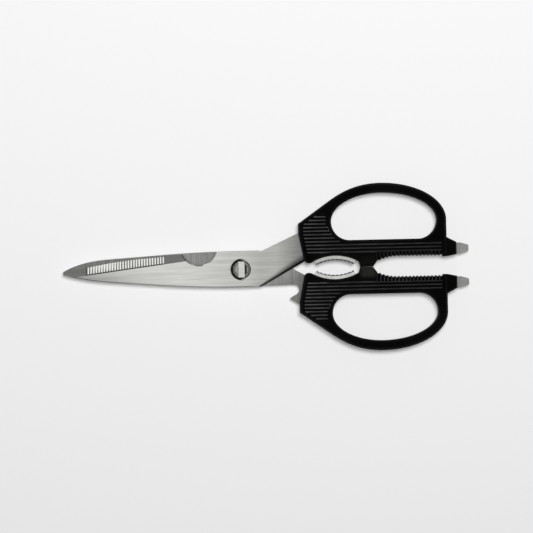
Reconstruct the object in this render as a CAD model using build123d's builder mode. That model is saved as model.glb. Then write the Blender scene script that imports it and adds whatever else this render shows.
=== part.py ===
from build123d import *
import os
from math import asin, cos, degrees, radians, sin, sqrt, tan

# Take-apart kitchen shears, lying closed on a flat surface.
# Millimetres. +X runs from the blade tips to the handles, +Y to the upper handle, +Z is up.
# The origin is under the middle of the closed shears, on the surface that they lie on.
# The front half (front blade, upper handle) turns on the stud of the rear half.
# Reaches are measured along X from the pivot, heights along Y from the pivot. The rear half
# is drawn like the front one, with its tang towards +Y, and turned over to -Y at the end.

# Blades
tip_reach = 100.4
blade_thickness = 3.0
blade_gap = 0.1
front_spine_height = 9.75
rear_spine_height = 10.4
front_edge_height = 10.2
rear_edge_height = 9.4
ricasso_reach = 14.0
tip_width = 1.5
tip_nose = 0.5
tip_drop = 0.25
spine_break = 0.5
front_spine_shares = ((0.30, 0.935), (0.66, 0.65), (0.89, 0.375))
rear_spine_shares = ((0.30, 0.95), (0.66, 0.745), (0.89, 0.49))
edge_shares = ((0.87, 0.265), (0.66, 0.60), (0.455, 0.77), (0.33, 0.88))

# Ground bevel along each cutting edge, and the serrations across the front one
edge_thickness = 0.4
bevel_start_share = (0.944, -0.255)
bevel_end_share = (0.32, 0.51)
serration_pitch = 1.51
serration_width = 0.9
serration_depth = 0.22
serration_inset = 0.8
serration_lead = 10.2

# Bone notch in the front blade
notch_reach = 23.8
notch_height = 12.85
notch_radius = 10.0
notch_break = 0.6

# Shanks, from the blades up to the handles
front_heel_reach = 11.3
shoulder_reach = 11.5
rear_heel_reach = 9.8
shank_slope_width = 3.6
shank_slope_depth = 0.5
shank_round_width = 1.1
shank_round_depth = 1.0
shank_lead_share = 0.3

# Cap lifter on the rear shank, ahead of the handle's nose
lifter_edge_height = 9.05
lifter_setback = 2.9
lifter_radius = 2.9
hook_angle = 30.0
hook_length = 5.1
hook_blunt = 0.6
hook_foot_setback = 0.4
hook_foot_rise = 3.0

# Tangs inside the handles
tang_width = 4.2
tang_cover = 1.8
tang_end_cover = 12.5
tang_root_inset = 12.9
tang_brow_inset = 8.7
tang_brow_height = 23.8
tang_cheek_run = 5.4
tang_cheek_height = 20.6
tang_waist_run = 6.1
anchor_slot_length = 22.0
anchor_slot_width = 2.2
head_anchor_diameter = 5.0
head_anchor_height = 16.5

# Pivot stud: a bar head in a round seat, with a slot below it for taking the halves apart
bar_length = 9.3
bar_width = 4.0
bar_thickness = 1.65
bar_break = 0.35
seat_clearance = 0.65
seat_depth = 1.5
running_clearance = 0.05
slot_clearance = 0.1
release_angle = 90.0
rivet_diameter = 6.0
rivet_flare = 1.4
rivet_stand_out = 0.35
journal_shoulder = 0.5

# Handles: a nose round the shank, a bar, and a rim round the finger hole
handle_thickness = 12.0
rim_break = 1.5
rim_second_break = 0.6
nose_reach = 32.3
nose_top_drop = 0.8
nose_bend_drop = 6.0
nose_foot_run = 3.3
nose_foot_width = 3.9
nose_foot_drop = 0.36
nose_corner_radius = 2.6
brow_run = 17.7
brow_rise = 12.5
ring_width = 5.5
hole_setback = 18.5
hole_length = 59.2
hole_crown_run = 28.1
hole_floor_height = 15.2
hole_side_height = 10.6
hole_height = 26.3
hole_corner_run = 10.4

# Stop and toothed band on the inner side of each bar; the band lies lower than the bar
stop_lead = 0.9
stop_length = 7.1
stop_gap = 0.2
stop_rear_run = 2.1
grip_height = 5.6
grip_fairing_run = 12.0
grip_fairing_fall = 2.8
band_step = 1.2
band_root_height = 8.4
tooth_pitch = 2.07
tooth_crest = 0.35
tooth_depth = 0.8

# Tail block that holds the screwdriver tip
tail_length = 5.5
tail_lap = 2.4
tail_step = 1.2
tail_root_drop = 4.5
tail_root_rise = 6.3
tail_end_width = 6.8
tail_break = 0.7

# Ribs across the noses and along the bars, left standing between grooves
rib_pitch = 2.0
groove_mouth_width = 1.4
groove_floor_width = 0.6
groove_depth = 0.6
groove_border = 0.4
groove_height = 7.6
groove_field_height = 23.0
groove_least_length = 2.0

# Steel jaw liners of the nutcracker
jaw_seat_height = 6.6
jaw_seat_radius = 26.4
jaw_seat_half_length = 13.2
jaw_thickness = 2.5
jaw_side_inset = 0.1
jaw_end_gap = 1.8
jaw_tooth_pitch = 2.28
jaw_tooth_depth = 0.4
jaw_tooth_gap = 1.5
lug_neck_width = 2.0
lug_end_width = 3.0
lug_length = 1.5
lug_depth = 4.0
lug_spread = 7.0

# Screwdriver tips in the tail blocks
driver_length = 6.9
driver_height = 9.5
driver_root_width = 6.0
driver_end_width = 3.5
driver_root_run = 2.4
driver_thickness = 3.0
driver_end_thickness = 1.2
driver_bury = 13.0
driver_seat = 1.2
driver_shank_width = 4.6
driver_corner_radius = 0.8
driver_notch_setback = 5.0
driver_notch_length = 2.0
driver_notch_depth = 0.8

# One overrun serves every cut
overrun = 1.0

# Worked-out places along the handle, from the nose to the tail
nose_foot_reach = nose_reach + nose_foot_run
jaw_reach = nose_foot_reach + nose_foot_width + jaw_seat_half_length
stop_reach = jaw_reach + jaw_seat_half_length + stop_lead
stop_rear_reach = stop_reach + stop_length
grip_start_reach = stop_rear_reach + stop_rear_run
grip_flat_reach = grip_start_reach + grip_fairing_run
hole_front_reach = nose_reach + hole_setback
hole_crown_reach = hole_front_reach + hole_crown_run
hole_rear_reach = hole_front_reach + hole_length
bar_rear_reach = hole_rear_reach + ring_width
tail_block_reach = bar_rear_reach + tail_length
tail_reach = tail_block_reach + driver_length
pivot_x = (tip_reach - tail_reach) / 2
pivot_axis = Axis((pivot_x, 0, 0), (0, 0, 1))

# Worked-out heights and levels
rim_width = rim_break + rim_second_break
hole_widest_height = hole_floor_height + hole_side_height
hole_crown_height = hole_floor_height + hole_height
crown_height = hole_crown_height + ring_width
nose_top_height = hole_widest_height - nose_top_drop
nose_bend_height = nose_top_height - nose_bend_drop
jaw_centre_height = jaw_seat_height - jaw_seat_radius
jaw_seat_end_height = jaw_centre_height + sqrt(jaw_seat_radius**2 - jaw_seat_half_length**2)
nose_foot_height = jaw_seat_end_height - nose_foot_drop
grip_fairing_radius = (grip_fairing_run**2 + grip_fairing_fall**2) / (2 * grip_fairing_fall)
shear_z = handle_thickness / 2
front_inner_z = shear_z + blade_gap / 2
front_outer_z = front_inner_z + blade_thickness
rear_inner_z = shear_z - blade_gap / 2
rear_outer_z = rear_inner_z - blade_thickness

# Worked-out places of the tangs
tang_high = hole_floor_height - tang_cover
tang_low = tang_high - tang_width
tang_root_reach = nose_reach + tang_root_inset
tang_brow_reach = nose_reach + tang_brow_inset
tang_cheek_reach = tang_brow_reach + tang_cheek_run
tang_waist_reach = tang_cheek_reach + tang_waist_run
tang_reach = bar_rear_reach - tang_end_cover

# Worked-out sizes of the pivot
seat_diameter = bar_length + 2 * seat_clearance
journal_diameter = rivet_diameter + 2 * journal_shoulder
rivet_head_diameter = rivet_diameter + 2 * rivet_flare


def level(z):
    """The plane at height z whose own origin is on the pivot axis."""
    return Plane(origin=(pivot_x, 0, z))


def between(start, end, share):
    """The value that lies the given share of the way from start to end."""
    return start + (end - start) * share


# The blades and their tangs


def blade_outline(spine_shares, spine_height, edge_height, heel_reach):
    """The flat outline of a blade from its tip to its heel, with the spine towards -Y."""
    tip_x = tip_nose - tip_reach
    spine_end = (tip_x, -tip_drop - tip_width / 2)
    edge_start = (tip_x, tip_width / 2 - tip_drop)
    heel = (heel_reach, -spine_height)
    ricasso = (-ricasso_reach, edge_height)
    with BuildSketch() as flat:
        with BuildLine():
            Spline([heel, *[(-x * tip_reach, -y * spine_height) for x, y in spine_shares], spine_end])
            ThreePointArc(spine_end, (-tip_reach, -tip_drop), edge_start)
            Spline([edge_start, *[(-x * tip_reach, y * edge_height) for x, y in edge_shares], ricasso])
            Polyline(ricasso, (heel_reach, edge_height), heel)
        make_face()
    return flat.sketch


def tang_corners(spine_height, heel_reach):
    """The tang's corners inside the handle, from its brow, then back along the shank to the heel."""
    return (
        (tang_brow_reach, tang_brow_height),
        (tang_cheek_reach, tang_cheek_height),
        (tang_waist_reach, tang_high),
        (tang_reach, tang_high),
        (tang_reach, tang_low),
        (tang_root_reach, tang_low),
        (heel_reach, -spine_height),
    )


def tang_anchors():
    """The hole and the slot that the handle's plastic fills when it is moulded over the tang."""
    with BuildSketch() as holes:
        with Locations((tang_brow_reach, head_anchor_height)):
            Circle(head_anchor_diameter / 2)
        with Locations(((tang_waist_reach + tang_reach) / 2, (tang_low + tang_high) / 2)):
            SlotOverall(anchor_slot_length, anchor_slot_width)
    return holes.sketch


def bevel_line(x_share, edge_height):
    """Height of the bevel's straight inner border at a share of the tip's reach."""
    share = (bevel_start_share[0] - x_share) / (bevel_start_share[0] - bevel_end_share[0])
    return between(bevel_start_share[1], bevel_end_share[1], share) * edge_height


def bevel_section(side, reach, inner_y, outer_y):
    """A triangle across a blade that bounds what grinding takes off its outer face.

    side is 1 for the front blade, whose edge is towards +Y, and -1 for the rear one."""
    reach_over = overrun / blade_thickness
    over_y = (outer_y - inner_y) * reach_over
    over_z = (blade_thickness - edge_thickness) * reach_over
    high = blade_gap / 2 + blade_thickness + over_z
    low = blade_gap / 2 + edge_thickness - over_z
    corners = ((inner_y - over_y, high), (outer_y + over_y, low), (outer_y + over_y, high))
    with BuildSketch(Plane.YZ.offset(pivot_x - reach)) as section:
        with BuildLine():
            Polyline(*[(side * y, shear_z + side * z) for y, z in corners], close=True)
        make_face()
    return section.sketch


def bevel_sections(side, edge_height):
    """Sections through the bevel from past the tip to the middle of the bone notch."""
    stations = [(1 + overrun / tip_reach, 0), *edge_shares, (notch_reach / tip_reach, 1)]
    return [
        bevel_section(side, x_share * tip_reach, bevel_line(x_share, edge_height), y_share * edge_height)
        for x_share, y_share in stations
    ]


def bevel_width(x_share, edge_height):
    """Width of the bevel at a share of the tip's reach, between the named stations."""
    for (far, far_height), (near, near_height) in zip(edge_shares, edge_shares[1:]):
        if near <= x_share <= far:
            height = between(far_height, near_height, (far - x_share) / (far - near))
            return height * edge_height - bevel_line(x_share, edge_height)
    return edge_height - bevel_line(x_share, edge_height)


def serration_profiles():
    """One V for each serration, square to the bevel, at the serration's inner end."""
    first_reach = notch_reach + notch_radius + serration_lead
    last_reach = edge_shares[0][0] * tip_reach
    profiles = []
    for i in range(int((last_reach - first_reach) / serration_pitch) + 1):
        reach = first_reach + i * serration_pitch
        x_share = reach / tip_reach
        fall = (blade_thickness - edge_thickness) / bevel_width(x_share, front_edge_height)
        slope = Vector(0, 1, -fall).normalized()
        inner_end = Vector(pivot_x - reach, bevel_line(x_share, front_edge_height), front_outer_z)
        start = inner_end + slope * serration_inset
        with BuildSketch(Plane(origin=start, x_dir=(-1, 0, 0), z_dir=slope)) as profile:
            with BuildLine():
                Polyline(
                    (-serration_width, serration_depth),
                    (serration_width, serration_depth),
                    (0, -serration_depth),
                    close=True,
                )
            make_face()
        profiles.append(profile.sketch.face())
    return profiles


def spine_edge(face, spine_shares, spine_height):
    """The edge of a blade's outer face that runs along its spine."""
    x_share, y_share = spine_shares[0]
    place = (pivot_x - x_share * tip_reach, y_share * spine_height, face.center().Z)
    return face.edges().sort_by_distance(place)[0]


with BuildPart() as front_blade:
    with BuildSketch(level(front_inner_z)):
        add(blade_outline(front_spine_shares, front_spine_height, front_edge_height, front_heel_reach))
        with BuildLine():
            Polyline(
                (-ricasso_reach / 2, 0),
                (-ricasso_reach / 2, front_edge_height),
                (shoulder_reach, front_edge_height),
                *tang_corners(front_spine_height, front_heel_reach),
                close=True,
            )
        make_face()
        add(tang_anchors(), mode=Mode.SUBTRACT)
    extrude(amount=blade_thickness)
    loft(bevel_sections(1, front_edge_height), mode=Mode.SUBTRACT)
    front_face = front_blade.faces().sort_by(Axis.Z)[-1]
    chamfer(spine_edge(front_face, front_spine_shares, -front_spine_height), spine_break)
    extrude(serration_profiles(), amount=2 * front_edge_height / 3, mode=Mode.SUBTRACT)
    with Locations(level(front_outer_z).move(Location((-notch_reach, notch_height, 0)))):
        CounterSinkHole(notch_radius, notch_radius + notch_break, blade_thickness, 90)
    heel = Vector(pivot_x + front_heel_reach, -front_spine_height, front_outer_z)
    shank = Vector(pivot_x + tang_root_reach, tang_low, front_outer_z) - heel
    shank_side = Plane(origin=heel - shank * shank_lead_share, x_dir=(-shank.Y, shank.X, 0), z_dir=shank)
    with BuildSketch(shank_side):
        with BuildLine():
            Polyline(
                (shank_slope_width, 0),
                (shank_round_width, -shank_slope_depth),
                (0, -shank_slope_depth - shank_round_depth),
                (-overrun, -shank_slope_depth - shank_round_depth),
                (-overrun, overrun),
                (shank_slope_width, overrun),
                close=True,
            )
        make_face()
    extrude(amount=shank.length * (1 + shank_lead_share), mode=Mode.SUBTRACT)
    with Locations(level(front_outer_z)):
        CounterBoreHole(
            journal_diameter / 2 + running_clearance, seat_diameter / 2, seat_depth, blade_thickness
        )
    with BuildSketch(level(front_inner_z)):
        Rectangle(
            bar_length + 2 * slot_clearance, bar_width + 2 * slot_clearance, rotation=90 - release_angle
        )
    extrude(amount=blade_thickness - seat_depth, mode=Mode.SUBTRACT)
front_blade.part.label = "front_blade"

with BuildPart() as rear_blade:
    with BuildSketch(level(rear_outer_z)):
        add(blade_outline(rear_spine_shares, rear_spine_height, rear_edge_height, rear_heel_reach))
        lifter_reach = nose_reach - lifter_setback
        hook_reach = nose_reach - hook_length
        notch_end = (
            lifter_reach + lifter_radius * sin(radians(hook_angle)),
            lifter_edge_height + lifter_radius * (1 + cos(radians(hook_angle))),
        )
        hook_height = notch_end[1] + (notch_end[0] - hook_reach) * tan(radians(hook_angle))
        notch_side = (lifter_reach + lifter_radius, lifter_edge_height + lifter_radius)
        with BuildLine():
            Polyline(
                (-ricasso_reach / 2, 0),
                (-ricasso_reach / 2, rear_edge_height),
                (rear_heel_reach, rear_edge_height),
                (lifter_reach, lifter_edge_height),
            )
            ThreePointArc((lifter_reach, lifter_edge_height), notch_side, notch_end)
            Polyline(
                notch_end,
                (hook_reach, hook_height),
                (hook_reach, hook_height + hook_blunt),
                (nose_reach - hook_foot_setback, hook_height + hook_blunt + hook_foot_rise),
                *tang_corners(rear_spine_height, rear_heel_reach),
                (-ricasso_reach / 2, 0),
            )
        make_face()
        add(tang_anchors(), mode=Mode.SUBTRACT)
        mirror(about=Plane.XZ, mode=Mode.REPLACE)
    extrude(amount=blade_thickness)
    loft(bevel_sections(-1, rear_edge_height), mode=Mode.SUBTRACT)
    run_out_start = bevel_line(notch_reach / tip_reach, rear_edge_height)
    run_out_end = rear_edge_height - edge_thickness
    run_out = [(notch_reach, run_out_start), (ricasso_reach, run_out_end)]
    loft([bevel_section(-1, reach, inner, rear_edge_height) for reach, inner in run_out], mode=Mode.SUBTRACT)
    rear_face = rear_blade.faces().sort_by(Axis.Z)[0]
    chamfer(spine_edge(rear_face, rear_spine_shares, rear_spine_height), spine_break)
    with Locations(Plane(origin=(pivot_x, 0, rear_outer_z), z_dir=(0, 0, -1))):
        CounterSinkHole(rivet_diameter / 2, rivet_head_diameter / 2, blade_thickness, 90)
rear_blade.part.label = "rear_blade"

# The pivot stud, riveted into the rear blade

seat_floor_z = front_outer_z - seat_depth
bar_z = seat_floor_z + running_clearance

with BuildPart() as pivot_stud:
    with BuildSketch(Plane(origin=(pivot_x, 0, 0), x_dir=(1, 0, 0), z_dir=(0, -1, 0))):
        with BuildLine():
            Polyline(
                (0, rear_outer_z - rivet_stand_out),
                (rivet_head_diameter / 2 - rivet_stand_out, rear_outer_z - rivet_stand_out),
                (rivet_head_diameter / 2, rear_outer_z),
                (rivet_diameter / 2, rear_outer_z + (rivet_head_diameter - rivet_diameter) / 2),
                (rivet_diameter / 2, rear_inner_z),
                (journal_diameter / 2, rear_inner_z),
                (journal_diameter / 2, bar_z),
                (0, bar_z),
                close=True,
            )
        make_face()
    revolve(axis=pivot_axis)
    with BuildSketch(level(bar_z)):
        Rectangle(bar_width, bar_length)
    extrude(amount=bar_thickness)
    chamfer(pivot_stud.faces().sort_by(Axis.Z)[-1].edges(), bar_break)
pivot_stud.part.label = "pivot_stud"

# The handle form that both handles share, without the cavities for the steel in it


def front_face_reach(height):
    """Where the nose's front face lies at a height."""
    if height > nose_top_height:
        return nose_reach + (height - nose_top_height) * brow_run / brow_rise
    if height > nose_bend_height:
        return nose_reach
    foot_share = (nose_bend_height - height) / (nose_bend_height - nose_foot_height)
    return between(nose_reach, nose_foot_reach, foot_share)


def hole_face_reach(height):
    """Where the finger hole's front side lies at a height, or its floor's front end below it."""
    if height > hole_widest_height:
        share = (height - hole_widest_height) / (hole_crown_height - hole_widest_height)
        return hole_crown_reach - hole_crown_run * sqrt(1 - share**2)
    share = min((hole_widest_height - height) / hole_side_height, 1)
    return hole_front_reach + hole_corner_run * (1 - sqrt(1 - share**2))


def groove_ends(height):
    """Reaches between which the groove at a height runs, inside the rim."""
    border = rim_width + groove_border
    start = front_face_reach(height + groove_mouth_width / 2) + border
    if height < jaw_seat_height + rim_width:
        seat_height = height - border - jaw_centre_height
        return start, jaw_reach - sqrt(jaw_seat_radius**2 - seat_height**2)
    if height < hole_floor_height - rim_width - groove_mouth_width / 2:
        return start, bar_rear_reach - border
    return start, hole_face_reach(height) - border


def grip_edge_height(reach):
    """Height of the toothed edge at a reach: an arc behind the stop, then level."""
    run = max(grip_flat_reach - reach, 0)
    return grip_height - grip_fairing_radius + sqrt(grip_fairing_radius**2 - run**2)


def hole_curve(corner, x_radius, y_radius, start_angle):
    """A quarter of an ellipse about a corner, on the line of the finger hole's widest height."""
    return EllipticalCenterArc((corner, hole_widest_height), x_radius, y_radius, start_angle)


def tooth_gap(reach, height, z, direction):
    """The V between two teeth, square to its run, with its root at the given place."""
    half = (tooth_pitch - tooth_crest) / 2
    with BuildSketch(Plane(origin=(pivot_x + reach, height, z), x_dir=(1, 0, 0), z_dir=direction)) as gap:
        with BuildLine():
            Polyline(
                (0, 0),
                (half, -tooth_depth),
                (half, -tooth_depth - overrun),
                (-half, -tooth_depth - overrun),
                (-half, -tooth_depth),
                close=True,
            )
        make_face()
    return gap.sketch.face()


def broad_edges(part):
    """The edges round the top and bottom faces of a part."""
    levels = part.faces().group_by(Axis.Z)
    return levels[0].edges() + levels[-1].edges()


with BuildPart() as rib_grooves:
    # Grooves in both broad faces, which leave the ribs standing between them
    for i in range(int(groove_field_height / rib_pitch) + 1):
        height = groove_height + i * rib_pitch
        start, end = groove_ends(height)
        if end - start > groove_least_length:
            with BuildSketch(Plane.YZ.offset(pivot_x + start)):
                for face_z, side in ((handle_thickness, 1), (0, -1)):
                    with BuildLine():
                        Polyline(
                            (height - groove_floor_width / 2, face_z - side * groove_depth),
                            (height + groove_floor_width / 2, face_z - side * groove_depth),
                            (height + groove_mouth_width / 2, face_z),
                            (height + groove_mouth_width / 2, face_z + side * overrun),
                            (height - groove_mouth_width / 2, face_z + side * overrun),
                            (height - groove_mouth_width / 2, face_z),
                            close=True,
                        )
                    make_face()
            extrude(amount=end - start)

with BuildPart() as tail_block:
    # The block behind the bar that holds the screwdriver tip
    with BuildSketch(level(tail_step)):
        with BuildLine():
            Polyline(
                (bar_rear_reach - tail_lap, driver_height - tail_root_drop),
                (bar_rear_reach, driver_height - tail_root_drop),
                (tail_block_reach, driver_height - tail_end_width / 2),
                (tail_block_reach, driver_height + tail_end_width / 2),
                (bar_rear_reach, driver_height + tail_root_rise),
                (bar_rear_reach - tail_lap, driver_height + tail_root_rise),
                close=True,
            )
        make_face()
    extrude(amount=handle_thickness - 2 * tail_step)
    chamfer(broad_edges(tail_block), tail_break)

with BuildPart() as grip_form:
    # The rim, the nose and the bar with its stop, round the finger hole
    with BuildSketch(level(0)) as grip_outline:
        brow = (nose_reach + brow_run, nose_top_height + brow_rise)
        seat_rear = (jaw_reach + jaw_seat_half_length, jaw_seat_end_height)
        seat_front = (jaw_reach - jaw_seat_half_length, jaw_seat_end_height)
        nose_foot = (nose_foot_reach, nose_foot_height)
        grip_start = (grip_start_reach, grip_edge_height(grip_start_reach))
        grip_mid_reach = (grip_start_reach + grip_flat_reach) / 2
        with BuildLine():
            Line((nose_reach, nose_top_height), brow)
            Spline([brow, (hole_crown_reach, crown_height)], tangents=[(brow_run, brow_rise), (1, 0)])
            hole_curve(
                hole_crown_reach, bar_rear_reach - hole_crown_reach, crown_height - hole_widest_height, 0
            )
            Polyline(
                (bar_rear_reach, hole_widest_height),
                (bar_rear_reach, grip_height),
                (grip_flat_reach, grip_height),
            )
            ThreePointArc(
                (grip_flat_reach, grip_height), (grip_mid_reach, grip_edge_height(grip_mid_reach)), grip_start
            )
            Polyline(grip_start, (stop_rear_reach, stop_gap / 2), (stop_reach, stop_gap / 2), seat_rear)
            ThreePointArc(seat_rear, (jaw_reach, jaw_seat_height), seat_front)
            Polyline(
                seat_front,
                (nose_foot_reach + nose_corner_radius, nose_foot_height),
                nose_foot,
                (nose_reach, nose_bend_height),
                (nose_reach, nose_top_height),
            )
        make_face()
        fillet(grip_outline.vertices().sort_by_distance(nose_foot)[0], nose_corner_radius)
        front_corner = hole_front_reach + hole_corner_run
        rear_corner = hole_rear_reach - hole_corner_run
        crown_rise = hole_crown_height - hole_widest_height
        with BuildLine():
            hole_curve(hole_crown_reach, hole_crown_run, crown_rise, 90)
            hole_curve(front_corner, hole_corner_run, hole_side_height, 180)
            Line((front_corner, hole_floor_height), (rear_corner, hole_floor_height))
            hole_curve(rear_corner, hole_corner_run, hole_side_height, 270)
            hole_curve(hole_crown_reach, hole_length - hole_crown_run, crown_rise, 0)
        make_face(mode=Mode.SUBTRACT)
    extrude(amount=handle_thickness)

    # The rim's round, in flat facets: a slanting break, whose own edges are broken again
    chamfer(broad_edges(grip_form), rim_break)
    chamfer(broad_edges(grip_form), rim_second_break)
    add(tail_block.part)

    # The toothed band, lower than the bar on both faces, with its teeth across three sides
    band_rear_reach = bar_rear_reach - rim_width
    with BuildSketch(level(0), level(handle_thickness - band_step)):
        with Locations((grip_start_reach, 0)):
            Rectangle(band_rear_reach - grip_start_reach, band_root_height, align=Align.MIN)
    extrude(amount=band_step, mode=Mode.SUBTRACT)
    tooth_count = int((band_rear_reach - grip_start_reach) / tooth_pitch)
    tooth_reaches = [grip_start_reach + (i + 0.5) * tooth_pitch for i in range(tooth_count)]
    uprights = [tooth_gap(r, grip_edge_height(r) + tooth_depth, 0, (0, 0, 1)) for r in tooth_reaches]
    extrude(uprights, amount=handle_thickness, mode=Mode.SUBTRACT)
    root_z = band_step + tooth_depth
    floors = [tooth_gap(r, band_root_height, root_z, (0, -1, 0)) for r in tooth_reaches]
    floors += [tooth_gap(r, 0, handle_thickness - root_z, (0, 1, 0)) for r in tooth_reaches]
    extrude(floors, amount=band_root_height, mode=Mode.SUBTRACT)

    add(rib_grooves.part, mode=Mode.SUBTRACT)

# Jaw liners and screwdriver tips, which the plastic of the handles holds by lugs and notches


def jaw_location(angle, radius):
    """A place on the jaw's arc at an angle from its middle, with X pointing outwards."""
    place = (jaw_reach + radius * sin(angle), jaw_centre_height + radius * cos(angle))
    return Location((*place, 0), (0, 0, 90 - degrees(angle)))


with BuildPart() as upper_jaw:
    jaw_depth = handle_thickness - 2 * (rim_width + jaw_side_inset)
    jaw_inner_radius = jaw_seat_radius - jaw_thickness
    jaw_half_angle = asin((jaw_seat_half_length - jaw_end_gap) / jaw_seat_radius)
    with BuildSketch(level(shear_z - jaw_depth / 2)):
        with BuildLine():
            centre = (jaw_reach, jaw_centre_height)
            start_angle = 90 - degrees(jaw_half_angle)
            outer = CenterArc(centre, jaw_seat_radius, start_angle, 2 * degrees(jaw_half_angle))
            inner = CenterArc(centre, jaw_inner_radius, start_angle, 2 * degrees(jaw_half_angle))
            Line(outer @ 0, inner @ 0)
            Line(outer @ 1, inner @ 1)
        make_face()
        tooth_angle = jaw_tooth_pitch / jaw_inner_radius
        gap_count = 2 * int(jaw_half_angle / tooth_angle)
        gap_angles = [(i - gap_count / 2) * tooth_angle for i in range(gap_count + 1)]
        with Locations(*[jaw_location(angle, jaw_inner_radius) for angle in gap_angles]):
            Polygon(
                (jaw_tooth_depth, 0),
                (-jaw_tooth_depth, jaw_tooth_gap),
                (-jaw_tooth_depth, -jaw_tooth_gap),
                align=None,
                mode=Mode.SUBTRACT,
            )
    extrude(amount=jaw_depth)
    with BuildSketch(level(shear_z - lug_depth / 2)):
        lug_angle = asin(lug_spread / jaw_seat_radius)
        with Locations(*[jaw_location(angle, jaw_seat_radius) for angle in (-lug_angle, lug_angle)]):
            Polygon(
                (-jaw_thickness / 2, lug_neck_width / 2),
                (0, lug_neck_width / 2),
                (lug_length, lug_end_width / 2),
                (lug_length, -lug_end_width / 2),
                (0, -lug_neck_width / 2),
                (-jaw_thickness / 2, -lug_neck_width / 2),
                align=None,
            )
    extrude(amount=lug_depth)
upper_jaw.part.label = "upper_jaw"

with BuildPart() as upper_driver:
    driver_start_reach = tail_block_reach - driver_bury
    driver_seat_reach = tail_block_reach - driver_seat
    driver_root_reach = tail_block_reach + driver_root_run
    with BuildSketch(level(shear_z - driver_thickness / 2)) as driver_outline:
        with BuildLine():
            Polyline(
                (driver_start_reach, driver_height - driver_shank_width / 2),
                (driver_seat_reach, driver_height - driver_shank_width / 2),
                (driver_seat_reach, driver_height - driver_root_width / 2),
                (driver_root_reach, driver_height - driver_root_width / 2),
                (tail_reach, driver_height - driver_end_width / 2),
                (tail_reach, driver_height + driver_end_width / 2),
                (driver_root_reach, driver_height + driver_root_width / 2),
                (driver_seat_reach, driver_height + driver_root_width / 2),
                (driver_seat_reach, driver_height + driver_shank_width / 2),
                (driver_start_reach, driver_height + driver_shank_width / 2),
                close=True,
            )
        make_face()
        fillet(driver_outline.vertices().group_by(Axis.X)[-1], driver_corner_radius)
        notch_x = driver_start_reach + driver_notch_setback
        sides = [(notch_x, driver_height + side * driver_shank_width / 2) for side in (-1, 1)]
        with Locations(*sides):
            Rectangle(driver_notch_length, 2 * driver_notch_depth, mode=Mode.SUBTRACT)
    extrude(amount=driver_thickness)
    with BuildSketch(Plane(origin=(pivot_x, 0, shear_z), x_dir=(1, 0, 0), z_dir=(0, -1, 0))):
        with BuildLine():
            Polyline(
                (driver_start_reach, driver_thickness / 2),
                (driver_root_reach, driver_thickness / 2),
                (tail_reach, driver_end_thickness / 2),
                (tail_reach, -driver_end_thickness / 2),
                (driver_root_reach, -driver_thickness / 2),
                (driver_start_reach, -driver_thickness / 2),
                close=True,
            )
        make_face()
    extrude(amount=-(driver_height + driver_root_width), mode=Mode.INTERSECT)
upper_driver.part.label = "upper_driver"

with BuildPart() as lower_jaw:
    add(upper_jaw.part)
    mirror(about=Plane.XZ, mode=Mode.REPLACE)
lower_jaw.part.label = "lower_jaw"

with BuildPart() as lower_driver:
    add(upper_driver.part)
    mirror(about=Plane.XZ, mode=Mode.REPLACE)
lower_driver.part.label = "lower_driver"

# The handles, moulded over the steel: their cavities fit it without play, and fill its holes

with BuildPart() as upper_handle:
    add(grip_form.part)
    for core in (front_blade, upper_jaw, upper_driver):
        add(core.part, mode=Mode.SUBTRACT)
upper_handle.part.label = "upper_handle"

with BuildPart() as lower_handle:
    add(grip_form.part)
    mirror(about=Plane.XZ, mode=Mode.REPLACE)
    for core in (rear_blade, lower_jaw, lower_driver):
        add(core.part, mode=Mode.SUBTRACT)
lower_handle.part.label = "lower_handle"

os.makedirs("parts", exist_ok=True)
for piece in (
    front_blade,
    rear_blade,
    pivot_stud,
    upper_handle,
    lower_handle,
    upper_jaw,
    lower_jaw,
    upper_driver,
    lower_driver,
):
    export_step(piece.part, f"parts/{piece.part.label}.step")
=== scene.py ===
from math import atan2, pi, radians
import bpy
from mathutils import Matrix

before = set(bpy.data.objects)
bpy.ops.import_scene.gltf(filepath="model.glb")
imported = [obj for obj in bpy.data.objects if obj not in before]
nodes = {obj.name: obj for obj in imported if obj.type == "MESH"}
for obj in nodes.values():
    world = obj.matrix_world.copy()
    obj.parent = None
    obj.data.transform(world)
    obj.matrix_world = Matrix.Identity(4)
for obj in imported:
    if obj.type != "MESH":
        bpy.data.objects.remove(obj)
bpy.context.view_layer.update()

# Kitchen shears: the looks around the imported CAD. Every form comes from the CAD, and this script adds materials,
# floor, room, lamps and camera. Metres. +X runs from the blade tips to the handles, +Y to the upper handle.
# Materials find their places in each piece's own frame, so they stay on it when the shears open.


# Places on the pieces that the materials follow. A pair gives the two limits that a look fades between.

PIVOT_X = -0.01375
SHANK_START = (-0.004, 0.0)

# Front blade
BEVEL_END = (-0.0176, -0.0172)
SERRATED = (-0.1012, -0.0574)
SERRATED_SOFT = 0.0004
SHANK_EDGE_ACROSS = (-0.491, 0.871)
SHANK_EDGE_OFFSET = 0.0074
SHANK_ROLL_REACH = (-0.004, 0.016)
SHANK_ROLL_WIDTHS = (0.0018, 0.0050)
SEAT_FLOOR = (0.00890, 0.00895)
SEAT_RADIUS = (0.0053, 0.0054)
SEAT_CORNER = (0.0043, 0.0050)
SEAT_RIM = (0.0050, 0.0061)
SEAT_RIM_SOFT = 0.00012
SEAT_HALO = (0.0055, 0.0072)
NOTCH_CENTRE = (-0.03755, 0.01285)
NOTCH_LINE = (0.01045, 0.01065)
NOTCH_SIDES = (0.002, 0.006)

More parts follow.
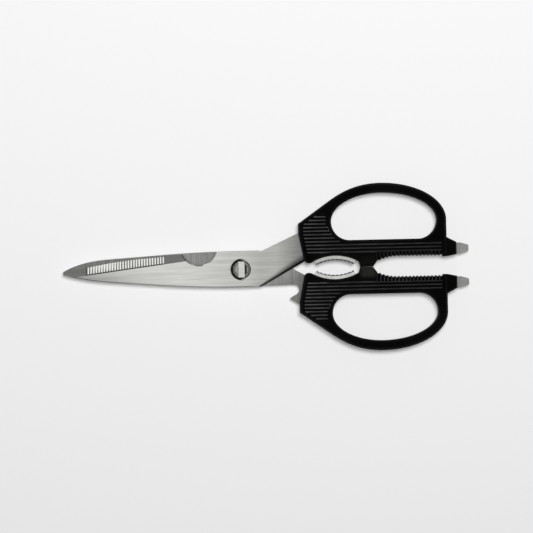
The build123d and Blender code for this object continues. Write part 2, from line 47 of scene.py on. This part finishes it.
# Rear blade, stud and jaws
NOTCH_WINDOW = (-0.050, -0.0255)
NOTCH_WINDOW_SOFT = 0.0005
REAR_SHANK_LIT = (-0.0065, 0.0)
BAR_TOP = (0.00905, 0.00915)
BAR_SIDE = (0.0019, 0.0030)
BAR_SIDE_SOFT = 0.0002
JAW_CENTRE_X = 0.03895
JAW_CENTRE_HEIGHT = 0.0198
JAW_TEETH = (0.02440, 0.02475)

# Handles. Heights are measured along Y from the line between the two, and the pairs of the ribs' starts and ends
# are a height and a place along X.
HANDLE_MIDDLE_Z = 0.006
HANDLE_FACE = (0.00590, 0.00595)
RIB_HEIGHTS = (0.0081, 0.0303)
RIB_STARTS = ((0.0076, 0.02345), (0.0190, 0.02125), (0.0243, 0.02125), (0.0300, 0.02932))
RIB_ENDS = (
    (0.0079, 0.0299), (0.0080, 0.0989), (0.0129, 0.0989), (0.0130, 0.0445),
    (0.0136, 0.0445), (0.0176, 0.0377), (0.0216, 0.0377), (0.0236, 0.0341),
)
RIB_END_SOFT = (0.0, 0.0002)
# Where the painted highlight on the rib crests fades along X
RIB_HIGHLIGHT_REACH = (0.024, 0.046)
TEETH_TOP = (0.01070, 0.01090)
TEETH_TOP_SOFT = 0.00005
TEETH_REACH = (0.061, 0.0988)
TEETH_HEIGHT = (0.0086, 0.0087)
STOP_REACH = (0.0535, 0.0615)
STOP_SOFT = 0.0012
STOP_HEIGHT = (0.0045, 0.0066)


class Graph:
    """A material's node tree, with short calls to add nodes and links."""

    def __init__(self, name):
        self.material = bpy.data.materials.new(name)
        self.material.use_nodes = True
        self.tree = self.material.node_tree
        self.tree.nodes.clear()
        self.out = self.node("ShaderNodeOutputMaterial")
        self.coords = self.node("ShaderNodeTexCoord")

    def node(self, kind, **settings):
        made = self.tree.nodes.new(kind)
        for key, value in settings.items():
            setattr(made, key, value)
        return made

    def link(self, source, target):
        self.tree.links.new(source, target)

    def fill(self, socket, value):
        """Give an input a value, or a link where the value is another node's output."""
        if isinstance(value, bpy.types.NodeSocket):
            self.link(value, socket)
        else:
            socket.default_value = value

    def shader(self, **sockets):
        made = self.node("ShaderNodeBsdfPrincipled")
        for key, value in sockets.items():
            self.fill(made.inputs[key.replace("_", " ")], value)
        self.link(made.outputs[0], self.out.inputs["Surface"])

    def noise(self, stretch, detail, rough, turn=0.0):
        """Noise whose grain is stretched: features per metre along X, Y and Z, turned about Z."""
        vector = self.coords.outputs["Object"]
        if turn:
            spin = self.node("ShaderNodeMapping")
            spin.inputs["Rotation"].default_value = (0, 0, turn)
            self.link(vector, spin.inputs["Vector"])
            vector = spin.outputs[0]
        place = self.node("ShaderNodeMapping")
        place.inputs["Scale"].default_value = stretch
        self.link(vector, place.inputs["Vector"])
        made = self.node("ShaderNodeTexNoise")
        made.inputs["Scale"].default_value = 1.0
        made.inputs["Detail"].default_value = detail
        made.inputs["Roughness"].default_value = rough
        self.link(place.outputs[0], made.inputs["Vector"])
        return made.outputs["Fac"]

    def span(self, value, limits, low=0.0, high=1.0, smooth=False):
        """A value carried from between its limits to between low and high, and held there outside them."""
        made = self.node("ShaderNodeMapRange")
        if smooth:
            made.interpolation_type = "SMOOTHSTEP"
        self.fill(made.inputs["Value"], value)
        made.inputs["From Min"].default_value = limits[0]
        made.inputs["From Max"].default_value = limits[1]
        self.fill(made.inputs["To Min"], low)
        self.fill(made.inputs["To Max"], high)
        return made.outputs[0]

    def below(self, value, limits):
        """One under the first limit, falling to zero at the second."""
        return self.span(value, limits, 1.0, 0.0)

    def within(self, value, limits, soft=0.0001):
        """One between the limits and zero outside them, with soft ends."""
        low, high = limits
        return self.both(
            self.span(value, (low - soft, low + soft)),
            self.below(value, (high - soft, high + soft)),
        )

    def choose(self, mask, off, on):
        """One value where a mask is zero, and another where it is one."""
        return self.span(mask, (0.0, 1.0), off, on)

    def through(self, value, points):
        """Straight lines through points, held level before the first and after the last."""
        made = points[0][1]
        for (start, _), (end, level) in zip(points, points[1:]):
            made = self.span(value, (start, end), made, level)
        return made

    def math(self, operation, a, b=0.0):
        made = self.node("ShaderNodeMath", operation=operation)
        self.fill(made.inputs[0], a)
        self.fill(made.inputs[1], b)
        return made.outputs[0]

    def both(self, *values):
        """The product of several values."""
        made = values[0]
        for value in values[1:]:
            made = self.math("MULTIPLY", made, value)
        return made

    def far(self, place, centre):
        """Distance from an upright axis through a centre."""
        across = self.math("SUBTRACT", place[0], centre[0])
        up = self.math("SUBTRACT", place[1], centre[1])
        return self.math("SQRT", self.math("ADD", self.both(across, across), self.both(up, up)))

    def mix(self, share, a, b):
        """A colour between a and b."""
        made = self.node("ShaderNodeMix", data_type="RGBA")
        self.fill(made.inputs["Factor"], share)
        self.fill(made.inputs["A"], a)
        self.fill(made.inputs["B"], b)
        return made.outputs["Result"]

    def scaled(self, share, colour):
        """A colour made darker or lighter by a share."""
        made = self.node("ShaderNodeVectorMath", operation="SCALE")
        self.link(colour, made.inputs[0])
        self.fill(made.inputs["Scale"], share)
        return made.outputs[0]

    def bump(self, height, strength, distance):
        made = self.node("ShaderNodeBump")
        made.inputs["Strength"].default_value = strength
        made.inputs["Distance"].default_value = distance
        self.link(height, made.inputs["Height"])
        return made.outputs[0]

    def place(self):
        """Where a point lies in the piece's own frame: X, Y and Z."""
        made = self.node("ShaderNodeSeparateXYZ")
        self.link(self.coords.outputs["Object"], made.inputs[0])
        return made.outputs

    def facing(self):
        """The face's own normal in the piece's frame: X, Y and Z."""
        held = self.node("ShaderNodeNewGeometry")
        turned = self.node("ShaderNodeVectorTransform", vector_type="NORMAL")
        turned.convert_from = "WORLD"
        turned.convert_to = "OBJECT"
        self.link(held.outputs["True Normal"], turned.inputs[0])
        made = self.node("ShaderNodeSeparateXYZ")
        self.link(turned.outputs[0], made.inputs[0])
        return made.outputs


def grey(value, tint=(1.0, 1.0, 1.0)):
    """A colour of one lightness, with a slight tint."""
    return (value * tint[0], value * tint[1], value * tint[2], 1.0)


# Steel. Roughness and darkening follow two grains and a slow cloud. Their noise seldom leaves the reach given.

STEEL_TINT = (0.992, 1.0, 0.955)
FINE_GRAIN = {"stretch": (140, 5200, 300), "detail": 3.0, "rough": 0.6}
BROAD_GRAIN = {"stretch": (45, 1000, 60), "detail": 2.0, "rough": 0.5}
STEEL_CLOUD = {"stretch": (38, 38, 38), "detail": 2.0, "rough": 0.5}
NOISE_REACH = (0.3, 0.7)
NARROW_REACH = (0.35, 0.65)
FINE_SHARE = 0.4
GRAIN_CONTRAST = (0.38, 0.62)
CLOUD_LINES = 0.6
LIGHT_LINES = 0.4
GRAIN_ROUGHNESS = (-0.05, 0.06)
CLOUD_ROUGHNESS = 0.04
MATT_ROUGHNESS = 0.25
MATT_METALLIC = 0.35
STEEL_BUMP = 0.35
BUMP_DEPTH = 0.00002


def brushed(name, tone, lines, shares, rough=0.36, turn=0.0):
    """Brushed steel, its grain along X turned by an angle; lines is the grain's strength.

    shares takes the graph and returns how bright and how matt each place is against the plain steel."""
    g = Graph(name)
    fine = g.noise(**FINE_GRAIN, turn=turn)
    broad = g.noise(**BROAD_GRAIN, turn=turn)
    cloud = g.noise(**STEEL_CLOUD)
    grain = g.math("ADD", g.both(fine, FINE_SHARE), g.both(broad, 1 - FINE_SHARE))

    dark = g.mix(
        g.span(cloud, NOISE_REACH),
        grey(tone * (1 - lines), STEEL_TINT),
        grey(tone * (1 - lines * CLOUD_LINES), STEEL_TINT),
    )
    light = grey(tone * (1 + lines * LIGHT_LINES), STEEL_TINT)
    bright, matt = shares(g)
    smoothest, roughest = [rough + step for step in GRAIN_ROUGHNESS]
    roughness = g.math(
        "ADD",
        g.span(grain, NOISE_REACH, smoothest, roughest),
        g.span(cloud, NARROW_REACH, 0.0, CLOUD_ROUGHNESS),
    )
    g.shader(
        Base_Color=g.scaled(bright, g.mix(g.span(grain, GRAIN_CONTRAST), dark, light)),
        Metallic=g.choose(matt, 1.0, MATT_METALLIC),
        Roughness=g.math("ADD", roughness, g.both(matt, MATT_ROUGHNESS)),
        Normal=g.bump(grain, STEEL_BUMP, BUMP_DEPTH),
    )
    return g.material


def from_shank_edge(g, place):
    """Distance from the slanting lower edge of the front blade's shank, below zero on its outer side."""
    across = [g.both(place[axis], SHANK_EDGE_ACROSS[axis]) for axis in (0, 1)]
    return g.math("ADD", g.math("ADD", *across), SHANK_EDGE_OFFSET)


# Front blade: painted shade towards the tip and the handle, as limits along X, the share of brightness before and
# after them, and whether the step is smooth
FRONT_ALONG = (
    ((-0.112, -0.064), 0.64, 1.0, True),
    ((-0.044, -0.014), 1.0, 0.86, True),
    ((-0.014, -0.001), 1.0, 0.82, True),
    ((0.006, 0.019), 1.0, 0.52, False),
)
# Painted shade on the lower side of the blade near the tip
TIP_REACH = (-0.110, -0.050)
TIP_ACROSS = ((-0.0062, 0.0005), 0.62, 1.0)
# Painted shade on the shank's rolled lower side
SHANK_ROLL = ((0.06, 1.0), 0.07, 1.0, True)
# Its faces are told by the X, Y or Z of their normals
BRIGHT_WALL_X = (-0.12, -0.22)
DULL_WALL_X = (0.12, 0.22)
BEVEL_Y = (0.10, 0.20)
BEVEL_Z = (0.2, 0.4)
SPINE_Y = (-0.30, -0.45)
SPINE_Z = (0.3, 0.4)
# Shares of brightness: painted shade on the spine, the bevel and the serrated band, and a painted highlight on the
# bright groove wall
SPINE_SHARE = 0.50
BEVEL_SHARE = 0.30
BAND_SHARE = 0.11
BRIGHT_WALL_SHARE = 1.75
DULL_WALL_SHARE = 1.0
DULL_WALL_MATT = 0.30
# How far towards the tip a place lies from the pivot: 1 straight towards it, -1 straight away
RIM_SIDE = (-0.45, 0.15)
HALO_SIDE = (0.55, 0.95)
# Painted shade in the stud's seat: its floor, corner, rim and halo
SEAT_SHARE = 0.44
CORNER_SHARE = 0.12
RIM_SHARE = 0.02
HALO_SHARE = 0.55
NOTCH_LINE_SHARE = 0.30


def front_shares(g):
    """Painted shade towards the handle and the tip, on the ground bevel and in the stud's seat; painted highlights
    on the serrations.
    """
    place = g.place()
    face = g.facing()
    # Painted shade towards the tip and the handle, deepest on the lower side near the tip
    along = g.both(*[g.span(place[0], *step) for step in FRONT_ALONG])
    tip = g.span(place[0], TIP_REACH, g.span(place[1], *TIP_ACROSS), 1.0)
    # Painted shade on the shank's rolled lower side, narrow at the heel
    roll_width = g.span(place[0], SHANK_ROLL_REACH, *SHANK_ROLL_WIDTHS)
    inward = g.math("DIVIDE", from_shank_edge(g, place), roll_width)
    # Painted shade on the spine's chamfer along the lower edge
    spine = g.both(g.span(face[1], SPINE_Y), g.span(face[2], SPINE_Z))
    bright = g.both(along, tip, g.span(inward, *SHANK_ROLL), g.choose(spine, 1.0, SPINE_SHARE))

    # The bevel in painted shade, with a darker serrated band. One wall of each groove gets a painted highlight.
    bevel = g.both(g.span(face[1], BEVEL_Y), g.span(face[2], BEVEL_Z), g.below(place[0], BEVEL_END))
    band = g.both(bevel, g.within(place[0], SERRATED, SERRATED_SOFT))
    bright_wall = g.both(bevel, g.span(face[0], BRIGHT_WALL_X))
    dull_wall = g.both(bevel, g.span(face[0], DULL_WALL_X))
    bright = g.choose(bevel, bright, g.choose(band, BEVEL_SHARE, BAND_SHARE))
    bright = g.choose(bright_wall, bright, BRIGHT_WALL_SHARE)
    bright = g.choose(dull_wall, bright, DULL_WALL_SHARE)
    matt = g.math("ADD", bright_wall, g.both(dull_wall, DULL_WALL_MATT))

    # The stud's seat: painted shade on its floor, darker in its corner, and a painted dark rim and halo of shade
    # towards the tip
    out = g.far(place, (PIVOT_X, 0.0))
    tipward = g.math("DIVIDE", g.math("SUBTRACT", PIVOT_X, place[0]), out)
    seat = g.both(g.below(place[2], SEAT_FLOOR), g.below(out, SEAT_RADIUS))
    corner = g.both(seat, g.span(out, SEAT_CORNER, smooth=True))
    rim = g.both(g.within(out, SEAT_RIM, SEAT_RIM_SOFT), g.span(tipward, RIM_SIDE))
    halo = g.both(g.below(out, SEAT_HALO), g.span(tipward, HALO_SIDE))

    # A painted shadow line round the bone notch, faint at its bottom
    sideways = g.math("ABSOLUTE", g.math("SUBTRACT", place[0], NOTCH_CENTRE[0]))
    line = g.both(g.below(g.far(place, NOTCH_CENTRE), NOTCH_LINE), g.span(sideways, NOTCH_SIDES))

    for mask, share in (
        (seat, SEAT_SHARE), (corner, CORNER_SHARE), (rim, RIM_SHARE), (halo, HALO_SHARE), (line, NOTCH_LINE_SHARE),
    ):
        bright = g.both(bright, g.choose(mask, 1.0, share))
    return bright, matt


INNER_FACE_Z = (0.4, 0.6)
# Painted shade on the rear blade's inner face, lighter where it shows through the notch, and painted light graded
# across its shank
REAR_BLADE_SHARE = 0.33
REAR_WINDOW_SHARE = 0.46
REAR_SHANK_SHARES = (0.34, 0.52)


def rear_shares(g):
    """The face that slides on the front blade is cross ground, and darker than the outer one with painted shade,
    lighter through the notch and graded across the shank.
    """
    place = g.place()
    inner = g.span(g.facing()[2], INNER_FACE_Z)
    window = g.within(place[0], NOTCH_WINDOW, NOTCH_WINDOW_SOFT)
    blade = g.choose(window, REAR_BLADE_SHARE, REAR_WINDOW_SHARE)
    on_shank = g.span(place[0], SHANK_START)
    shank = g.both(on_shank, g.span(from_shank_edge(g, place), REAR_SHANK_LIT, *REAR_SHANK_SHARES))
    return g.choose(inner, 1.0, g.choose(on_shank, blade, shank)), 0.0


# Painted shade on the disc under the bar and a painted shadow beside the bar
DISC_SHARE = 0.58
BESIDE_BAR_SHARE = 0.07


def stud_shares(g):
    """Painted light and shade: bright on the bar's top, darker on the disc under it, and a painted shadow beside
    the bar.
    """
    place = g.place()
    top = g.span(place[2], BAR_TOP, DISC_SHARE, 1.0)
    side = g.within(g.math("SUBTRACT", place[0], PIVOT_X), BAR_SIDE, BAR_SIDE_SOFT)
    return g.both(top, g.choose(side, 1.0, BESIDE_BAR_SHARE)), 0.0


# Painted shadow in the gaps along the jaws' teeth
JAW_TEETH_SHARE = 0.08


def jaw_shares(side):
    """A painted shadow line along the toothed side of a jaw, in the gaps of the teeth; side is 1 for the upper one
    and -1 for the lower one.
    """
    def shares(g):
        out = g.far(g.place(), (JAW_CENTRE_X, -side * JAW_CENTRE_HEIGHT))
        return g.span(out, JAW_TEETH, JAW_TEETH_SHARE, 1.0), 0.0
    return shares


# Painted highlight on the drivers' slanting faces, and painted shade on the flat
DRIVER_LEVEL = (0.985, 0.998)
DRIVER_SHARES = (1.12, 0.95)


def driver_shares(g):
    """Painted light: the slanting faces at the tip a little brighter than the flat behind them."""
    level = g.math("ABSOLUTE", g.facing()[2])
    return g.span(level, DRIVER_LEVEL, *DRIVER_SHARES), 0.0


# Plastic

PLASTIC_GRAIN = {"stretch": (3600, 3600, 3600), "detail": 2.0, "rough": 0.6}
PLASTIC_PATCHES = {"stretch": (55, 55, 55), "detail": 3.0, "rough": 0.55}
# Patches that vary the painted crest highlights
CREST_HIGHLIGHT_NOISE = {"stretch": (160, 900, 160), "detail": 2.0, "rough": 0.6}
FLAT_FACE_Z = (0.92, 0.97)
BLACKS = (0.0006, 0.0026)
BLACK_PATCHES = (0.35, 0.7)
STOP_TINT = (1.0, 0.98, 0.88)
# Painted highlights on the crests of the ribs and teeth
CREST_HIGHLIGHT_TONE = 0.080
RIB_HIGHLIGHT_FADE = (1.0, 0.42)
RIB_HIGHLIGHT_SPREAD = (0.45, 1.0)
LEAST_TEETH_HIGHLIGHT = 0.4
SIDE_FACE_Z = (0.2, 0.8)
LOW_ANGLES = (0.25, 0.85)
TOP_SHINE = 0.02
SIDE_SHINE = 0.40
LOW_ANGLE_SHINE = 0.30
PATCH_ROUGHNESS = (0.42, 0.54)
PLASTIC_GRAIN_ROUGHNESS = (-0.03, 0.03)
PLASTIC_BUMP = 0.25


def moulded(name, stop_tone, teeth_highlight_share):
    """Black moulded plastic with a fine matt grain, and painted highlights on the crests of its ribs and teeth."""
    g = Graph(name)
    grain = g.noise(**PLASTIC_GRAIN)
    patches = g.noise(**PLASTIC_PATCHES)
    crest_noise = g.noise(**CREST_HIGHLIGHT_NOISE)
    place = g.place()
    level = g.math("ABSOLUTE", g.facing()[2])
    flat = g.span(level, FLAT_FACE_Z)
    height = g.math("ABSOLUTE", place[1])

    # Painted highlights on the ribs' crests, from inside the nose to before the finger hole, or along the bar
    outer = g.span(g.math("ABSOLUTE", g.math("SUBTRACT", place[2], HANDLE_MIDDLE_Z)), HANDLE_FACE)
    past_start = g.math("SUBTRACT", place[0], g.through(height, RIB_STARTS))
    before_end = g.math("SUBTRACT", g.through(height, RIB_ENDS), place[0])
    run = g.both(g.span(past_start, RIB_END_SOFT), g.span(before_end, RIB_END_SOFT))
    ribs = g.both(flat, outer, run, g.within(height, RIB_HEIGHTS))
    rib_highlights = g.both(ribs, g.span(place[0], RIB_HIGHLIGHT_REACH, *RIB_HIGHLIGHT_FADE), g.span(crest_noise, NARROW_REACH, *RIB_HIGHLIGHT_SPREAD))

    # Painted highlights on the tops of the teeth
    teeth = g.both(
        flat,
        g.within(place[2], TEETH_TOP, TEETH_TOP_SOFT),
        g.within(place[0], TEETH_REACH),
        g.below(height, TEETH_HEIGHT),
    )
    teeth_highlights = g.both(teeth, g.span(crest_noise, NARROW_REACH, teeth_highlight_share * LEAST_TEETH_HIGHLIGHT, teeth_highlight_share))

    stop = g.both(g.within(place[0], STOP_REACH, STOP_SOFT), g.below(height, STOP_HEIGHT))
    black = g.mix(g.span(patches, BLACK_PATCHES), *[grey(tone) for tone in BLACKS])
    black = g.mix(stop, black, grey(stop_tone, STOP_TINT))

    # Matt on top, with a little shine on the sides and at low angles
    sides = g.span(level, SIDE_FACE_Z, SIDE_SHINE, TOP_SHINE)
    low_angle = g.node("ShaderNodeLayerWeight").outputs["Facing"]
    g.shader(
        Base_Color=g.mix(g.math("MAXIMUM", rib_highlights, teeth_highlights), black, grey(CREST_HIGHLIGHT_TONE)),
        Roughness=g.math(
            "ADD",
            g.span(patches, NOISE_REACH, *PATCH_ROUGHNESS),
            g.span(grain, NOISE_REACH, *PLASTIC_GRAIN_ROUGHNESS),
        ),
        Specular_IOR_Level=g.math("MAXIMUM", sides, g.span(low_angle, LOW_ANGLES, TOP_SHINE, LOW_ANGLE_SHINE)),
        Normal=g.bump(grain, PLASTIC_BUMP, BUMP_DEPTH),
    )
    return g.material


# Every node's material: steel with its tone and lines, plastic with its stop block's tone and the strength of its
# teeth's painted highlight

CROSSWISE = radians(90)
FINISHES = {
    "front_blade": brushed("brushed_front", 0.64, 0.17, front_shares),
    "rear_blade": brushed("brushed_rear", 0.60, 0.34, rear_shares, turn=CROSSWISE),
    "pivot_stud": brushed("turned_stud", 0.60, 0.10, stud_shares, rough=0.30),
    # The upper jaw's darker tone than the lower one is painted shade
    "upper_jaw": brushed("jaw_steel", 0.50, 0.26, jaw_shares(1), rough=0.34, turn=CROSSWISE),
    "lower_jaw": brushed("jaw_steel_low", 0.60, 0.26, jaw_shares(-1), rough=0.34, turn=CROSSWISE),
    "upper_driver": brushed("driver_steel", 0.285, 0.12, driver_shares, rough=0.34),
    "lower_driver": brushed("driver_steel_low", 0.27, 0.12, driver_shares, rough=0.34),
    # The upper handle's teeth get a weaker painted highlight than the lower one's
    "upper_handle": moulded("black_plastic", 0.0040, 0.36),
    "lower_handle": moulded("black_plastic_low", 0.017, 0.85),
}
for name, material in FINISHES.items():
    for held in nodes[name].material_slots:
        held.material = material


# Floor: pale, with a painted gradient of light, a little lighter towards the top of the picture

FLOOR_SIZE = 8.0
FLOOR_REACH = (-0.15, 0.15)
FLOOR_TONES = (0.826, 0.944)
FLOOR_ROUGHNESS = 0.9

bpy.ops.mesh.primitive_plane_add(size=FLOOR_SIZE, location=(0, 0, 0))
floor = bpy.context.object
floor.name = "floor"
g = Graph("pale_floor")
tone = g.span(g.place()[1], FLOOR_REACH, *FLOOR_TONES)
colour = g.node("ShaderNodeCombineColor")
for socket in colour.inputs:
    g.link(tone, socket)
g.shader(Base_Color=colour.outputs[0], Roughness=FLOOR_ROUGHNESS, Specular_IOR_Level=0.0)
floor.data.materials.append(g.material)


# World: a plain soft room, pale where the camera sees it past the floor and where the steel reflects it

ROOM = 0.10
PALE = 0.87

world = bpy.data.worlds.new("room")
bpy.context.scene.world = world
world.use_nodes = True
tree = world.node_tree
room = tree.nodes["Background"]
room.inputs["Color"].default_value = grey(ROOM)
backdrop = tree.nodes.new("ShaderNodeBackground")
backdrop.inputs["Color"].default_value = grey(PALE)
path = tree.nodes.new("ShaderNodeLightPath")
shown = path.outputs["Is Camera Ray"]
for ray in ("Is Glossy Ray", "Is Transmission Ray"):
    either = tree.nodes.new("ShaderNodeMath")
    either.operation = "MAXIMUM"
    tree.links.new(shown, either.inputs[0])
    tree.links.new(path.outputs[ray], either.inputs[1])
    shown = either.outputs[0]
choice = tree.nodes.new("ShaderNodeMixShader")
tree.links.new(shown, choice.inputs[0])
tree.links.new(room.outputs[0], choice.inputs[1])
tree.links.new(backdrop.outputs[0], choice.inputs[2])
tree.links.new(choice.outputs[0], tree.nodes["World Output"].inputs["Surface"])


# Lamps. A third of the light comes straight down and casts no shadow that the camera sees. The rest comes from
# beyond the top right of the picture and casts the short soft shadow on the lower left. A weak softbox over the
# middle of the blades lights only what is reflected in the steel.

LAMP_HEIGHT = 2.2
LIGHT = 0.905 * pi**2 * LAMP_HEIGHT**2
OVERHEAD_SIZE = (0.15, 0.15)
OVERHEAD_SHARE = 0.31
KEY_SIZE = (0.60, 0.60)
KEY_SHARE = 0.72
KEY_PLACE = (0.195, 0.355, LAMP_HEIGHT)
SOFTBOX_SIZE = (0.60, 0.50)
SOFTBOX_PLACE = (-0.10, 0.03, 0.50)
SOFTBOX_STRENGTH = 0.17


def lamp(name, place, target, size, power, shape, unseen):
    """An area lamp at a place, facing a target, hidden from the camera and from one more kind of ray."""
    data = bpy.data.lights.new(name, "AREA")
    data.shape = shape
    data.size, data.size_y = size
    data.energy = power
    made = bpy.data.objects.new(name, data)
    bpy.context.scene.collection.objects.link(made)
    made.location = place
    away = [p - t for p, t in zip(place, target)]
    flat = (away[0] ** 2 + away[1] ** 2) ** 0.5
    made.rotation_euler = (atan2(flat, away[2]), 0, atan2(away[0], -away[1]))
    made.visible_camera = False
    setattr(made, "visible_" + unseen, False)


lamp("overhead", (0, 0, LAMP_HEIGHT), (0, 0, 0), OVERHEAD_SIZE, LIGHT * OVERHEAD_SHARE, "DISK", "glossy")
lamp("key", KEY_PLACE, (0, 0, 0), KEY_SIZE, LIGHT * KEY_SHARE, "DISK", "glossy")
softbox_power = pi * SOFTBOX_SIZE[0] * SOFTBOX_SIZE[1] * SOFTBOX_STRENGTH
lamp("softbox", SOFTBOX_PLACE, (*SOFTBOX_PLACE[:2], 0), SOFTBOX_SIZE, softbox_power, "RECTANGLE", "diffuse")


# Camera straight above, turned a little, as in the photograph

CAMERA_PLACE = (0.00033, 0.00138, 2.0)
CAMERA_TURN = radians(-1.25)
CAMERA_SENSOR = 36
CAMERA_LENS = 239.3
CAMERA_CLIP = (0.05, 50)

view = bpy.data.cameras.new("camera")
camera = bpy.data.objects.new("camera", view)
bpy.context.scene.collection.objects.link(camera)
camera.location = CAMERA_PLACE
camera.rotation_euler = (0, 0, CAMERA_TURN)
view.sensor_width = CAMERA_SENSOR
view.lens = CAMERA_LENS
view.clip_start, view.clip_end = CAMERA_CLIP
bpy.context.scene.camera = camera
bpy.context.scene.view_settings.view_transform = "Standard"
